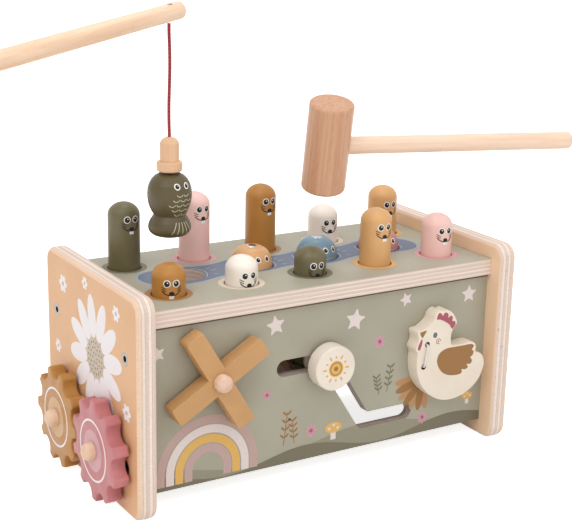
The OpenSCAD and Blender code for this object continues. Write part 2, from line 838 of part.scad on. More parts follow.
module rod_pole() {
    color(beech)
        at_rod()
            difference() {
                rotate([0, 90, 0])
                    rotate_extrude()
                        polygon(bar_outline(rod_d / 2, rod_length, rod_edge_r));
                translate([rod_hole_from_tip, 0, -rod_d])
                    cylinder(d = rod_hole_d, h = 2 * rod_d);
                translate([rod_hole_from_tip, 0, knot_seat_z])
                    cylinder(d = knot_d + 2 * knot_gap, h = rod_d);
            }
}

// Knot seated in the rod, with the line's stretch inside the hole
module line_knot() {
    knot_z = knot_seat_z + knot_d / 2 + groove_gap;
    color(red_thread)
        at_rod()
            translate([rod_hole_from_tip, 0, 0]) {
                translate([0, 0, -rod_d / 2])
                    cylinder(d = line_d, h = rod_d / 2 + knot_z, $fn = 24);
                translate([0, 0, knot_z])
                    sphere(d = knot_d, $fn = 24);
            }
}

// Line from the rod down into the bobber
module fishing_line() {
    steps = len(line_wander) - 1;
    top = line_rod_z - line_top_gap;
    fall = line_free + line_seat;
    color(red_thread)
        tube([for (i = [0 : steps]) [line_x + line_wander[i], line_y, top - fall * i / steps]], line_d, [1, 0, 0]);
}

// Turned bobber with a rounded collar, a hole for the line and a pocket for the magnet
module bobber() {
    r = bobber_d / 2;
    rc = bobber_collar_d / 2;
    top_h = bobber_d * 0.42;
    collar = bar_outline(rc, bobber_collar_h, bobber_edge_r);
    dome = [for (a = [0 : 15 : 90]) [r * cos(a), bobber_h - top_h + top_h * sin(a)]];
    color(beech)
        translate([line_x, line_y, bobber_low_z])
            difference() {
                union() {
                    rotate_extrude()
                        polygon(collar);
                    rotate_extrude()
                        polygon(concat([[0, bobber_edge_r], [r, bobber_edge_r]], dome));
                }
                translate([0, 0, bobber_h - line_seat])
                    cylinder(d = line_d + 2 * groove_gap, h = line_seat + cut);
                translate([0, 0, -cut])
                    cylinder(d = magnet_d + 2 * glue_gap, h = magnet_t + cut);
            }
}

module bobber_magnet() {
    color(steel)
        translate([line_x, line_y, bobber_low_z])
            cylinder(d = magnet_d, h = magnet_t);
}

// Puts the handle's axis along +X and the head's along +Z
module at_mallet() {
    translate(mallet_at)
        rotate(mallet_turn)
            children();
}

module mallet_head() {
    color(red_wood)
        at_mallet()
            difference() {
                translate([0, 0, -mallet_head_h / 2])
                    rotate_extrude()
                        polygon(bar_outline(mallet_head_d / 2, mallet_head_h, mallet_edge_r));
                bar_x(handle_d + 2 * glue_gap, -handle_socket, mallet_head_d, 0, 0);
            }
}

module mallet_handle() {
    color(beech)
        at_mallet()
            translate([-handle_socket, 0, 0])
                rotate([0, 90, 0])
                    rotate_extrude()
                        polygon(bar_outline(handle_d / 2, handle_reach + handle_socket, handle_edge_r));
}

left_end_panel();
right_end_panel();
top_panel();
front_panel();
back_panel();
guide_shelf();
panel_bolts();
mole_front(1);  // mole_front_1
mole_front(2);  // mole_front_2
mole_front(3);  // mole_front_3
mole_front(4);  // mole_front_4
mole_front(5);  // mole_front_5
mole_back(1);  // mole_back_1
mole_back(2);  // mole_back_2
mole_back(3);  // mole_back_3
mole_back(4);  // mole_back_4
mole_back(5);  // mole_back_5
rocker(1);  // rocker_1
rocker(2);  // rocker_2
rocker(3);  // rocker_3
rocker(4);  // rocker_4
rocker(5);  // rocker_5
rocker_axle();
rocker_spacers();
fish(fish_x(2), 0, stream_nose_z, fish_peach_paint);  // fish_peach
fish(fish_x(3), 0, stream_nose_z, fish_blue_paint);  // fish_blue
fish(fish_x(4), 0, stream_nose_z, rose);  // fish_rose
fish(line_x, line_y, hung_nose_z, olive);  // fish_olive
nose_disc(fish_x(2), 0, stream_nose_z);  // fish_peach_disc
nose_disc(fish_x(3), 0, stream_nose_z);  // fish_blue_disc
nose_disc(fish_x(4), 0, stream_nose_z);  // fish_rose_disc
nose_disc(line_x, line_y, hung_nose_z);  // fish_olive_disc
windmill_sails();
windmill_peg();
windmill_washer();
gear_ochre();
gear_rose();
gear_peg(gear_spacing / 2);  // gear_ochre_peg
gear_peg(-gear_spacing / 2);  // gear_rose_peg
gear_washers();
slider_disc();
slider_stem();
slider_keeper();
hen();
hen_elastic();
rod_pole();
line_knot();
fishing_line();
bobber();
bobber_magnet();
mallet_head();
mallet_handle();
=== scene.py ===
from math import cos, pi, radians, sin

import bmesh
import bpy
from mathutils import Euler, Matrix, Vector


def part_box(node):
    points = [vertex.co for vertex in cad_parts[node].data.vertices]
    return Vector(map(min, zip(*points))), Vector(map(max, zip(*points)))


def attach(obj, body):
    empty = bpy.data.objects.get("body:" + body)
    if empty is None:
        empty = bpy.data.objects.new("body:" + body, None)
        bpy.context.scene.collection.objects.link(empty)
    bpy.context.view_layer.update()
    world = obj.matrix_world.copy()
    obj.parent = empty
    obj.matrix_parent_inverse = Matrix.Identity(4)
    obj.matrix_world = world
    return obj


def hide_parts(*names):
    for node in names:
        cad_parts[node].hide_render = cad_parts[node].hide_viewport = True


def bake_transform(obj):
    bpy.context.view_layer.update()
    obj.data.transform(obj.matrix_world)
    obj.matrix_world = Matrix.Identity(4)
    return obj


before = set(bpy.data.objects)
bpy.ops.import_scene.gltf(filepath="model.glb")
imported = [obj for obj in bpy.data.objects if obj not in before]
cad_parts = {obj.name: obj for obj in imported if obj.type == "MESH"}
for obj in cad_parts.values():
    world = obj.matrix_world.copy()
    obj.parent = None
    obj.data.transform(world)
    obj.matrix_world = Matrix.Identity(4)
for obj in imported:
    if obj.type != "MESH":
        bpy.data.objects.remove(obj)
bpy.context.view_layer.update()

# The camera stands at the front left of the bench, a little above it, with a long lens.
# Its place and turn were fitted to the bench's own corners.
camera_data = bpy.data.cameras.new("camera")
camera_data.sensor_width = 36
camera_data.lens = 84.01
camera = bpy.data.objects.new("camera", camera_data)
bpy.context.collection.objects.link(camera)
heading, height, roll = radians(-31.255), radians(15.808), radians(1.213)
backward = Vector((sin(heading) * cos(height), -cos(heading) * cos(height), sin(height)))
level = Vector((0, 0, 1)).cross(backward).normalized()
upright = backward.cross(level)
right = cos(roll) * level + sin(roll) * upright
up = cos(roll) * upright - sin(roll) * level
camera_turn = Matrix((right, up, backward)).transposed().to_4x4()
camera_place = (-0.4899, -0.8098, 0.4111)
camera.matrix_world = Matrix.Translation(camera_place) @ camera_turn
bpy.context.scene.camera = camera

# Fishing line: a twisted red cotton cord, knotted in the rod's hole and let into the bobber's top.
# The whole line shows, and its route repeats the solid's.
MM = 0.001


def linear(code):
    """An sRGB hex colour as the linear colour that the shader takes."""
    parts = [int(code[i:i + 2], 16) / 255 for i in (1, 3, 5)]
    return [p / 12.92 if p < 0.04045 else ((p + 0.055) / 1.055) ** 2.4 for p in parts] + [1]


def add_node(tree, kind, inputs=None, stops=(), **settings):
    """Adds a shader node with its settings, and sets or links its inputs. stops are a colour ramp's."""
    node = tree.nodes.new("ShaderNode" + kind)
    for name, value in settings.items():
        setattr(node, name, value)
    for place, value in (inputs or {}).items():
        if isinstance(value, bpy.types.NodeSocket):
            tree.links.new(value, node.inputs[place])
        else:
            node.inputs[place].default_value = value
    for i, (place, code) in enumerate(stops):
        stop = node.color_ramp.elements[i] if i < 2 else node.color_ramp.elements.new(place)
        stop.position = place
        stop.color = linear(code)
    return node


def new_finish(name, **sockets):
    """A material, its node tree and its shader, with the shader's own sockets set."""
    finish = bpy.data.materials.new(name)
    finish.use_nodes = True
    tree = finish.node_tree
    shader = tree.nodes["Principled BSDF"]
    for socket, value in sockets.items():
        shader.inputs[socket.replace("_", " ")].default_value = value
    return finish, tree, shader


def twisted_cotton(name, ridge, groove_shade, pitch):
    """Soft spun threads: no gloss, with a slanting ridge for each strand, and the grooves between darker as
    painted shade. pitch is in mm along the cord.
    """
    finish, tree, shader = new_finish(name, Roughness=0.85, Sheen_Weight=0.3)
    place = add_node(tree, "TexCoord")
    # a diagonal wave turns once in 2 pi / (10 * scale) along the cord
    strands = add_node(tree, "TexWave", {"Vector": place.outputs["Object"], "Scale": 200 * pi / pitch,
                                         "Distortion": 1.0, "Detail": 1.0}, bands_direction="DIAGONAL")
    # the grooves between strands take the darker colour, as painted shade
    colour = add_node(tree, "ValToRGB", {0: strands.outputs["Fac"]}, [(0.2, groove_shade), (0.8, ridge)])
    tree.links.new(colour.outputs[0], shader.inputs["Base Color"])
    relief = add_node(tree, "Bump", {"Height": strands.outputs["Fac"], "Strength": 0.5, "Distance": 0.0004})
    tree.links.new(relief.outputs[0], shader.inputs["Normal"])
    return finish


def dress(finish, *names):
    """Gives CAD nodes a finish."""
    for name in names:
        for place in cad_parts[name].material_slots:
            place.material = finish


def add_piece(name, shape, finishes, body):
    """Makes a piece from a mesh that is already in place, and lets it ride on a body."""
    if isinstance(shape, bmesh.types.BMesh):
        mesh = bpy.data.meshes.new(name)
        shape.to_mesh(mesh)
        shape.free()
        shape = mesh
    piece = bpy.data.objects.new(name, shape)
    bpy.context.collection.objects.link(piece)
    for finish in finishes:
        shape.materials.append(finish)
    if body:
        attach(piece, body)
    return piece


def new_cord(name, route, diameter):
    """A round cord along a route in mm, as a curve of one open spline."""
    path = bpy.data.curves.new(name, "CURVE")
    path.dimensions = "3D"
    path.bevel_depth = diameter / 2 * MM
    path.bevel_resolution = 3
    path.use_fill_caps = True
    spline = path.splines.new("POLY")
    spline.points.add(len(route) - 1)
    for point, where in zip(spline.points, route):
        point.co = (*(Vector(where) * MM), 1)
    return path


rod_tip = Vector((-84.7, 2.0, 327.3))
rod_heading, rod_dip = radians(208.1), radians(5.3)
rod_way = Vector((cos(rod_heading) * cos(rod_dip), sin(rod_heading) * cos(rod_dip), -sin(rod_dip)))
rod_radius, hole_from_tip = 6, 12
line_hole = rod_tip + hole_from_tip * rod_way
line_top = line_hole.z - rod_radius / cos(rod_dip) - 0.7
line_length, line_diameter = 80.0, 2.3
wander = (0, 0, 0.2, 0.4, 0.5, 0.5, 0.4, 0.2, 0, -0.2, -0.3, -0.3, -0.2, 0, 0)
step = line_length / (len(wander) - 1)
route = [(line_hole.x + side, line_hole.y, line_top - step * i) for i, side in enumerate(wander)]
red_cotton = twisted_cotton("twisted_red_cotton", "#b5353a", "#90242a", 2.5)
line_path = new_cord("fishing_line_cord", route, line_diameter)
line = add_piece("fishing_line_cord", line_path, [red_cotton], "line")
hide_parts("fishing_line")
dress(red_cotton, "line_knot")

# Fishing rod and bobber: sanded beech with no lacquer. The line goes through a hole near the rod's tip,
# and its knot sits in the hole's wider upper half. The bobber holds a magnet in its base.


def bare_wood(name, pale, dark, grain=(0, 0, 1), centre=(0, 0, 0), figure=(5, 70), gloss=0.5, pores=0.25):
    """Sanded wood: long soft streaks, and short darker pores that leave a fine texture.
    figure is the width and length of the streaks in mm, grain the way they run, centre a point on their axis,
    and pores how dark the pores are."""
    finish, tree, shader = new_finish(name, Roughness=gloss, IOR=1.5, Specular_IOR_Level=0.35)
    turn = Vector(grain).to_track_quat("Z", "Y").to_euler()
    place = add_node(tree, "TexCoord").outputs["Object"]
    width, length = figure[0] * MM, figure[1] * MM
    along = add_node(tree, "Mapping", {"Vector": place, "Location": Vector(centre) * MM, "Rotation": turn,
                                       "Scale": (width, width, length)}, vector_type="TEXTURE")
    streaks = add_node(tree, "TexNoise", {"Vector": along.outputs[0], "Scale": 1.0, "Detail": 3.0})
    colour = add_node(tree, "ValToRGB", {0: streaks.outputs["Fac"]}, [(0.36, dark), (0.62, pale)])
    fine = add_node(tree, "Mapping", {"Vector": place, "Rotation": turn, "Scale": (0.0007, 0.0007, 0.009)},
                    vector_type="TEXTURE")
    pits = add_node(tree, "TexNoise", {"Vector": fine.outputs[0], "Scale": 1.0, "Detail": 2.0})
    flecks = add_node(tree, "MapRange", {"Value": pits.outputs["Fac"], "From Min": 0.56, "From Max": 0.72,
                                         "To Min": 0.0, "To Max": pores})
    blend = add_node(tree, "Mix", {0: flecks.outputs[0], 6: colour.outputs[0], 7: linear(dark)},
                     data_type="RGBA", blend_type="MULTIPLY")
    tree.links.new(blend.outputs[2], shader.inputs["Base Color"])
    relief = add_node(tree, "Bump", {"Height": pits.outputs["Fac"], "Strength": 0.06, "Distance": 0.0002})
    tree.links.new(relief.outputs[0], shader.inputs["Normal"])
    return finish


dress(bare_wood("sanded_beech_rod", "#f5d5b8", "#ecc6a6", rod_way, rod_tip, (4, 60)), "rod_pole")
upright_beech = bare_wood("sanded_beech_upright", "#e4bb97", "#dfb38d", gloss=0.3, pores=0.06)
dress(upright_beech, "bobber")


def zinc_steel(name, code, gloss):
    """Plated steel: a soft grey mirror, faintly brushed."""
    finish, tree, shader = new_finish(name, Metallic=1.0, Roughness=gloss)
    shader.inputs["Base Color"].default_value = linear(code)
    place = add_node(tree, "TexCoord").outputs["Object"]
    brushed = add_node(tree, "Mapping", {"Vector": place, "Scale": (0.0004, 0.004, 0.0004)},
                       vector_type="TEXTURE")
    marks = add_node(tree, "TexNoise", {"Vector": brushed.outputs[0], "Scale": 1.0, "Detail": 2.0})
    relief = add_node(tree, "Bump", {"Height": marks.outputs["Fac"], "Strength": 0.05, "Distance": 0.0002})
    tree.links.new(relief.outputs[0], shader.inputs["Normal"])
    return finish


bright_steel = zinc_steel("polished_steel", "#c6c8ca", 0.14)
dress(bright_steel, "bobber_magnet")

# Fish: turned beech, sprayed in satin colours, with printed eyes, scales and tail rays.
# A steel disc is glued into each nose. Three stand in the stream's holes and the olive one hangs on the line.


def sprayed_wood(name, code, shade, gloss=0.38):
    """Water-based paint on sanded wood: satin, slightly cloudy, with the grain just seen through it."""
    finish, tree, shader = new_finish(name, IOR=1.48, Specular_IOR_Level=0.36)
    place = add_node(tree, "TexCoord").outputs["Object"]
    clouds = add_node(tree, "TexNoise", {"Vector": place, "Scale": 1000 / 22, "Detail": 2.0})
    colour = add_node(tree, "ValToRGB", {0: clouds.outputs["Fac"]}, [(0.35, shade), (0.65, code)])
    tree.links.new(colour.outputs[0], shader.inputs["Base Color"])
    sheen = add_node(tree, "MapRange", {"Value": clouds.outputs["Fac"], "To Min": gloss - 0.06,
                                        "To Max": gloss + 0.06})
    tree.links.new(sheen.outputs[0], shader.inputs["Roughness"])
    fine = add_node(tree, "Mapping", {"Vector": place, "Scale": (0.0009, 0.0009, 0.012)},
                    vector_type="TEXTURE")
    grain = add_node(tree, "TexNoise", {"Vector": fine.outputs[0], "Scale": 1.0, "Detail": 2.0})
    relief = add_node(tree, "Bump", {"Height": grain.outputs["Fac"], "Strength": 0.07, "Distance": 0.0003})
    tree.links.new(relief.outputs[0], shader.inputs["Normal"])
    return finish


def printed_ink(name, code):
    """Screen-printed ink: flat and matt, with a fine speckle where the screen left it thin."""
    finish, tree, shader = new_finish(name, Roughness=0.55, Specular_IOR_Level=0.3)
    place = add_node(tree, "TexCoord").outputs["Object"]
    speckle = add_node(tree, "TexNoise", {"Vector": place, "Scale": 1000 / 0.8, "Detail": 1.0})
    thin = add_node(tree, "MapRange", {"Value": speckle.outputs["Fac"], "From Min": 0.3, "From Max": 0.7,
                                       "To Min": 0.93, "To Max": 1.0})
    colour = add_node(tree, "Mix", {0: 1.0, 6: linear(code), 7: thin.outputs[0]}, data_type="RGBA",
                      blend_type="MULTIPLY")
    tree.links.new(colour.outputs[2], shader.inputs["Base Color"])
    return finish


def inked(sheet, before, ink):
    """Marks the faces that were added to a print with an ink's number."""
    for face in sheet.faces:
        if face not in before:
            face.material_index = ink


def ink_oval(sheet, ink, x, y, wide, tall=None, turn=0, layer=1):
    """A filled oval. Prints are drawn flat, in mm: x to the right, y up and z for the layer of ink."""
    before = set(sheet.faces)
    place = Matrix.Translation((x, y, layer)) @ Matrix.Rotation(radians(turn), 4, "Z")
    bmesh.ops.create_circle(sheet, cap_ends=True, cap_tris=True, segments=32, radius=0.5,
                            matrix=place @ Matrix.Diagonal((wide, tall or wide, 1, 1)))
    inked(sheet, before, ink)


def ink_arc(sheet, ink, x, y, radius, width, start=0, end=360, layer=1):
    """A curved stroke, or a ring, of even width between two angles."""
    before = set(sheet.faces)
    way = Vector((cos(radians(start)), sin(radians(start)), 0))
    ends = [sheet.verts.new(Vector((x, y, layer)) + (radius + side * width / 2) * way) for side in (-1, 1)]
    stroke = sheet.edges.new(ends)
    bmesh.ops.spin(sheet, geom=ends + [stroke], cent=(x, y, 0), axis=(0, 0, 1), angle=radians(end - start),
                   steps=max(6, int(abs(end - start) / 6)), use_merge=end - start == 360, use_duplicate=False)
    inked(sheet, before, ink)


def ink_bar(sheet, ink, start, end, width, layer=1):
    """A straight stroke between two points."""
    before = set(sheet.faces)
    way = Vector(end) - Vector(start)
    middle = (Vector(start) + Vector(end)) / 2
    turn = Matrix.Rotation(way.to_2d().angle_signed(Vector((1, 0))), 4, "Z")
    bmesh.ops.create_grid(sheet, x_segments=6, y_segments=1, size=0.5, matrix=Matrix.Translation(
        (middle.x, middle.y, layer)) @ turn @ Matrix.Diagonal((way.length, width, 1, 1)))
    inked(sheet, before, ink)


def ink_shape(sheet, ink, points, layer=1, steps=4):
    """A filled shape with a smooth outline through a few points."""
    before = set(sheet.faces)
    count = len(points)
    outline = []
    for i in range(count):
        p0, p1, p2, p3 = (Vector(points[(i + k) % count]) for k in (-1, 0, 1, 2))
        for s in range(steps):
            t = s / steps
            outline.append(0.5 * (2 * p1 + (p2 - p0) * t + (2 * p0 - 5 * p1 + 4 * p2 - p3) * t * t
                                  + (3 * p1 - p0 - 3 * p2 + p3) * t * t * t))
    sheet.faces.new([sheet.verts.new((p.x, p.y, layer)) for p in outline])
    inked(sheet, before, ink)


FILM = 0.05  # a film of ink, drawn thicker than it is so that it stands clear of its surface


def lay_print(name, sheet, surface, inks, body, bend=False):
    """Lays a flat print on a surface as thin films of ink, one film thickness for each layer.
    surface turns x, y and height in mm to a place in mm, and bend cuts the print fine enough to go round."""
    bmesh.ops.triangulate(sheet, faces=[face for face in sheet.faces if len(face.verts) > 4])
    if bend:
        for _ in range(2):
            bmesh.ops.subdivide_edges(sheet, edges=[e for e in sheet.edges if e.calc_length() > 0.9], cuts=1,
                                      use_grid_fill=True)
    sheet.normal_update()
    for face in sheet.faces:
        if face.normal.z < 0:
            face.normal_flip()
    thick = bmesh.ops.extrude_face_region(sheet, geom=sheet.faces[:], use_keep_orig=True)
    raised = [part for part in thick["geom"] if isinstance(part, bmesh.types.BMVert)]
    bmesh.ops.translate(sheet, verts=raised, vec=(0, 0, 1))
    bmesh.ops.recalc_face_normals(sheet, faces=sheet.faces[:])
    for vert in sheet.verts:
        vert.co = Vector(surface(vert.co.x, vert.co.y, (vert.co.z - 0.8) * FILM)) * MM
    return add_piece(name, sheet, inks, body)


def top_middle(node):
    """The middle of a node's top, in mm."""
    low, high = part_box(node)
    return Vector(((low.x + high.x) / 2, (low.y + high.y) / 2, high.z)) / MM


fish_low, fish_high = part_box("fish_peach")
FISH_LENGTH = (fish_high.z - fish_low.z) / MM


def fish_radius(below_nose):
    """The fish's radius in mm at a depth below its nose, as its solid is turned."""
    belly, waist, flare = 0.32 * FISH_LENGTH, 0.66 * FISH_LENGTH, 0.86 * FISH_LENGTH
    full, nose = 15.5, 5.05
    narrow, tail = 0.71 * full, 0.965 * full
    if below_nose < belly:
        return nose + (full - nose) * (1 - (1 - below_nose / belly) ** 2) ** 0.5
    if below_nose < waist:
        share = (below_nose - belly) / (waist - belly)
        return (full ** 2 - (full ** 2 - narrow ** 2) * share ** 2) ** 0.5
    if below_nose < flare:
        return narrow + (tail - narrow) * sin(pi / 2 * (below_nose - waist) / (flare - waist))
    share = (below_nose - flare) / (FISH_LENGTH - flare)
    return tail * (0.5 + 0.5 * (1 - share * share) ** 0.5)


cream_ink = printed_ink("cream_ink", "#f6f2ea")
black_ink = printed_ink("black_ink", "#211d1b")
straw_ink = printed_ink("straw_ink", "#cdc7a6")
fish_paints = {
    "fish_peach": ("#dcaa78", "#d6a26e", "peach_paint"), "fish_blue": ("#7e9cac", "#7694a5", "blue_paint"),
    "fish_rose": ("#cb8e90", "#c48486", "rose_paint"), "fish_olive": ("#5e5338", "#574c32", "olive_paint")}
fish_facing = {"fish_peach": 7, "fish_blue": 12, "fish_rose": 2, "fish_olive": 11}
for name, (code, shade, slot) in fish_paints.items():
    dress(sprayed_wood("sprayed_" + name, code, shade), name)
    dress(bright_steel, name + "_disc")
    marks = bmesh.new()
    for side in (-1, 1):
        ink_oval(marks, 0, 3.8 * side, -7.2, 4.4)
        ink_oval(marks, 1, 3.8 * side, -7.2, 2.9, layer=2)
        ink_oval(marks, 0, 3.8 * side + 0.5, -6.7, 0.6, layer=3)
    for row, count in enumerate((2, 3, 4, 3, 2)):
        for k in range(count):
            ink_arc(marks, 2, (k - (count - 1) / 2) * 5.2, -11.6 - 3.5 * row, 2.4, 0.5, 205, 335)
    for k in range(-2, 3):
        ink_bar(marks, 2, (2.0 * k, -32.4), (4.0 * k, -40.4), 0.45)
    nose, turn = top_middle(name), radians(fish_facing[name])

    def on_fish(x, y, height):
        around = fish_radius(-y)
        angle, reach = turn + x / around, around + height + FILM
        return nose.x + reach * sin(angle), nose.y - reach * cos(angle), nose.z + y

    lay_print(name + "_face", marks, on_fish, [cream_ink, black_ink, straw_ink], name, bend=True)

# End panels: birch plywood, sprayed on both faces. The edges are rounded and sanded bare, so the plies show.
# The print is a big white daisy with small blossoms round it.


def cut_plies(tree, place, depth, pair, cut_edge_shade):
    """The cut edge of plywood: a pale ply and a cross ply in turn, with a dark line of glue between.
    pair is how thick two plies are in mm, and cut_edge_shade darkens them as painted shade. Gives their
    colour, and a factor for each pair that also carries that painted shade."""
    ripple = add_node(tree, "TexNoise", {"Vector": place, "Scale": 1000 / 30, "Detail": 1.0})
    waved = add_node(tree, "Math", {0: ripple.outputs["Fac"], 1: 0.0004, 2: depth}, operation="MULTIPLY_ADD")
    count = add_node(tree, "Math", {0: waved.outputs[0], 1: 1000 / pair}, operation="MULTIPLY")
    share = add_node(tree, "Math", {0: count.outputs[0]}, operation="FRACT")
    plies = add_node(tree, "ValToRGB", {0: share.outputs[0]}, [
        (0.0, "#c3a291"), (0.07, "#efddcf"), (0.46, "#f1e2d6"),
        (0.5, "#c7a797"), (0.58, "#e0cabc"), (0.96, "#e4cfc2")])
    number = add_node(tree, "Math", {0: count.outputs[0]}, operation="FLOOR")
    sort = add_node(tree, "TexWhiteNoise", {"W": number.outputs[0]}, noise_dimensions="1D")
    tone_and_shade = add_node(tree, "MapRange", {"Value": sort.outputs["Value"], "To Min": 0.93 * cut_edge_shade,
                                       "To Max": 1.03 * cut_edge_shade})
    return plies.outputs[0], tone_and_shade.outputs[0]


def with_hills(tree, parts, paint, hills):
    """Printed hills: all that lies below a slow wave along the panel takes the hill's colour."""
    for colour, base, rise, length, shift in hills:
        swing = add_node(tree, "Math", {0: parts.outputs[0], 1: 2 * pi / (length * MM), 2: shift},
                         operation="MULTIPLY_ADD")
        wave = add_node(tree, "Math", {0: swing.outputs[0]}, operation="SINE")
        crest = add_node(tree, "Math", {0: wave.outputs[0], 1: rise * MM, 2: base * MM},
                         operation="MULTIPLY_ADD")
        under = add_node(tree, "Math", {0: parts.outputs[2], 1: crest.outputs[0]}, operation="LESS_THAN")
        paint = add_node(tree, "Mix", {0: under.outputs[0], 6: paint, 7: linear(colour)},
                         data_type="RGBA").outputs[2]
    return paint


def with_stream(tree, parts, paint):
    """Printed stream: a band along the middle that sways a little and swells at the holes, with round ends
    and a light line round it."""
    pitch, last_hole, straight_end = 56 * MM, 84 * MM, 96.5 * MM
    swing = add_node(tree, "Math", {0: parts.outputs[0], 1: pi / pitch}, operation="MULTIPLY")
    sway = add_node(tree, "Math", {0: swing.outputs[0]}, operation="SINE")
    aside = add_node(tree, "Math", {0: sway.outputs[0], 1: 1.6 * MM, 2: parts.outputs[1]},
                     operation="MULTIPLY_ADD")
    along = add_node(tree, "Math", {0: parts.outputs[0]}, operation="ABSOLUTE")
    past = add_node(tree, "Math", {0: along.outputs[0], 1: straight_end}, operation="SUBTRACT")
    beyond = add_node(tree, "Math", {0: past.outputs[0], 1: 0.0}, operation="MAXIMUM")
    off = add_node(tree, "CombineXYZ", {0: beyond.outputs[0], 1: aside.outputs[0]})
    reach = add_node(tree, "VectorMath", {0: off.outputs[0]}, operation="LENGTH")
    held = add_node(tree, "Math", {0: along.outputs[0], 1: last_hole}, operation="MINIMUM")
    phase = add_node(tree, "Math", {0: held.outputs[0], 1: 2 * pi / pitch}, operation="MULTIPLY")
    swell = add_node(tree, "Math", {0: phase.outputs[0]}, operation="COSINE")
    bank = add_node(tree, "Math", {0: swell.outputs[0], 1: 2.6 * MM, 2: reach.outputs["Value"]},
                    operation="MULTIPLY_ADD")
    for half_width, colour in ((18.1, "#93abc4"), (16.9, "#6d7587")):
        inside = add_node(tree, "Math", {0: bank.outputs[0], 1: half_width * MM}, operation="LESS_THAN")
        paint = add_node(tree, "Mix", {0: inside.outputs[0], 6: paint, 7: linear(colour)},
                         data_type="RGBA").outputs[2]
    return paint


def painted_ply(name, code, shade, across, face, side, hills=(), stream=False, cut_edge_shade=1.0, inner=None,
                gap_shadow=None, veneer=0, pair=4.6):
    """Birch plywood: paint on one face, bare veneer on the other, and its plies on the edges, in mm.
    across is the axis through the sheet, and face and side say where the painted face is. cut_edge_shade
    darkens the cut edges with painted shade, inner is where a paler inner face lies, gap_shadow the height
    from which the face gets a dark line of painted shadow, the shade of the gap under the top panel, veneer
    the depth of the smooth outer ply that shows at a rounded rim, and pair how thick two plies are."""
    finish, tree, shader = new_finish(name, IOR=1.48, Specular_IOR_Level=0.35)
    place = add_node(tree, "TexCoord").outputs["Object"]
    parts = add_node(tree, "SeparateXYZ", {0: place})
    depth = parts.outputs[across]
    outward, inward = ("GREATER_THAN", "LESS_THAN") if side > 0 else ("LESS_THAN", "GREATER_THAN")
    wood, tone_and_shade = cut_plies(tree, place, depth, pair, cut_edge_shade)
    if veneer:
        skin = add_node(tree, "Math", {0: depth, 1: (face - side * veneer) * MM}, operation=outward)
        wood = add_node(tree, "Mix", {0: skin.outputs[0], 6: wood, 7: linear("#f4d3b6")},
                        data_type="RGBA").outputs[2]
    # fibres are 1 mm wide and 50 mm long
    fibre_size = [MM, MM, MM]
    fibre_size[(across + 1) % 3] = 50 * MM
    fibre_place = add_node(tree, "Mapping", {"Vector": place, "Scale": fibre_size}, vector_type="TEXTURE")
    fibre = add_node(tree, "TexNoise", {"Vector": fibre_place.outputs[0], "Scale": 1.0, "Detail": 3.0})
    streak = add_node(tree, "MapRange", {"Value": fibre.outputs["Fac"], "From Min": 0.3, "From Max": 0.7,
                                         "To Min": 0.9, "To Max": 1.03})
    # fibre streaks times the factor for each pair, which also holds the painted shade of the cut edges
    grain_and_edge_shade = add_node(tree, "Math", {0: streak.outputs[0], 1: tone_and_shade}, operation="MULTIPLY")
    wood = add_node(tree, "Mix", {0: 1.0, 6: wood, 7: grain_and_edge_shade.outputs[0]}, data_type="RGBA",
                    blend_type="MULTIPLY").outputs[2]
    # a few dark specks of about 1 mm, where a knot or a gap in a ply is cut across
    spots = add_node(tree, "TexNoise", {"Vector": place, "Scale": 1000 / 4, "Detail": 0.0})
    speck = add_node(tree, "MapRange", {"Value": spots.outputs["Fac"], "From Min": 0.82, "From Max": 0.88,
                                        "To Min": 0.0, "To Max": 0.45})
    wood = add_node(tree, "Mix", {0: speck.outputs[0], 6: wood, 7: linear("#7d5d49")},
                    data_type="RGBA").outputs[2]
    if inner:
        within = add_node(tree, "Math", {0: depth, 1: (inner + side * 0.5) * MM}, operation=inward)
        wood = add_node(tree, "Mix", {0: within.outputs[0], 6: wood, 7: linear("#efcdac")},
                        data_type="RGBA").outputs[2]
    clouds = add_node(tree, "TexNoise", {"Vector": place, "Scale": 1000 / 35, "Detail": 3.0})
    paint = add_node(tree, "ValToRGB", {0: clouds.outputs["Fac"]}, [(0.35, shade), (0.65, code)]).outputs[0]
    paint = with_hills(tree, parts, paint, hills)
    if stream:
        paint = with_stream(tree, parts, paint)
    # a dark line of painted shadow along the top of the face, the shade of the gap under the top panel
    if gap_shadow:
        above = add_node(tree, "Math", {0: parts.outputs[2], 1: gap_shadow * MM}, operation="GREATER_THAN")
        paint = add_node(tree, "Mix", {0: above.outputs[0], 6: paint, 7: linear("#5d4a3c")},
                         data_type="RGBA").outputs[2]
    painted = add_node(tree, "Math", {0: depth, 1: (face - side * 0.06) * MM}, operation=outward)
    colour = add_node(tree, "Mix", {0: painted.outputs[0], 6: wood, 7: paint}, data_type="RGBA")
    tree.links.new(colour.outputs[2], shader.inputs["Base Color"])
    gloss = add_node(tree, "MapRange", {"Value": painted.outputs[0], "To Min": 0.62, "To Max": 0.48})
    tree.links.new(gloss.outputs[0], shader.inputs["Roughness"])
    relief = add_node(tree, "Bump", {"Height": fibre.outputs["Fac"], "Strength": 0.1, "Distance": 0.0003})
    tree.links.new(relief.outputs[0], shader.inputs["Normal"])
    return finish


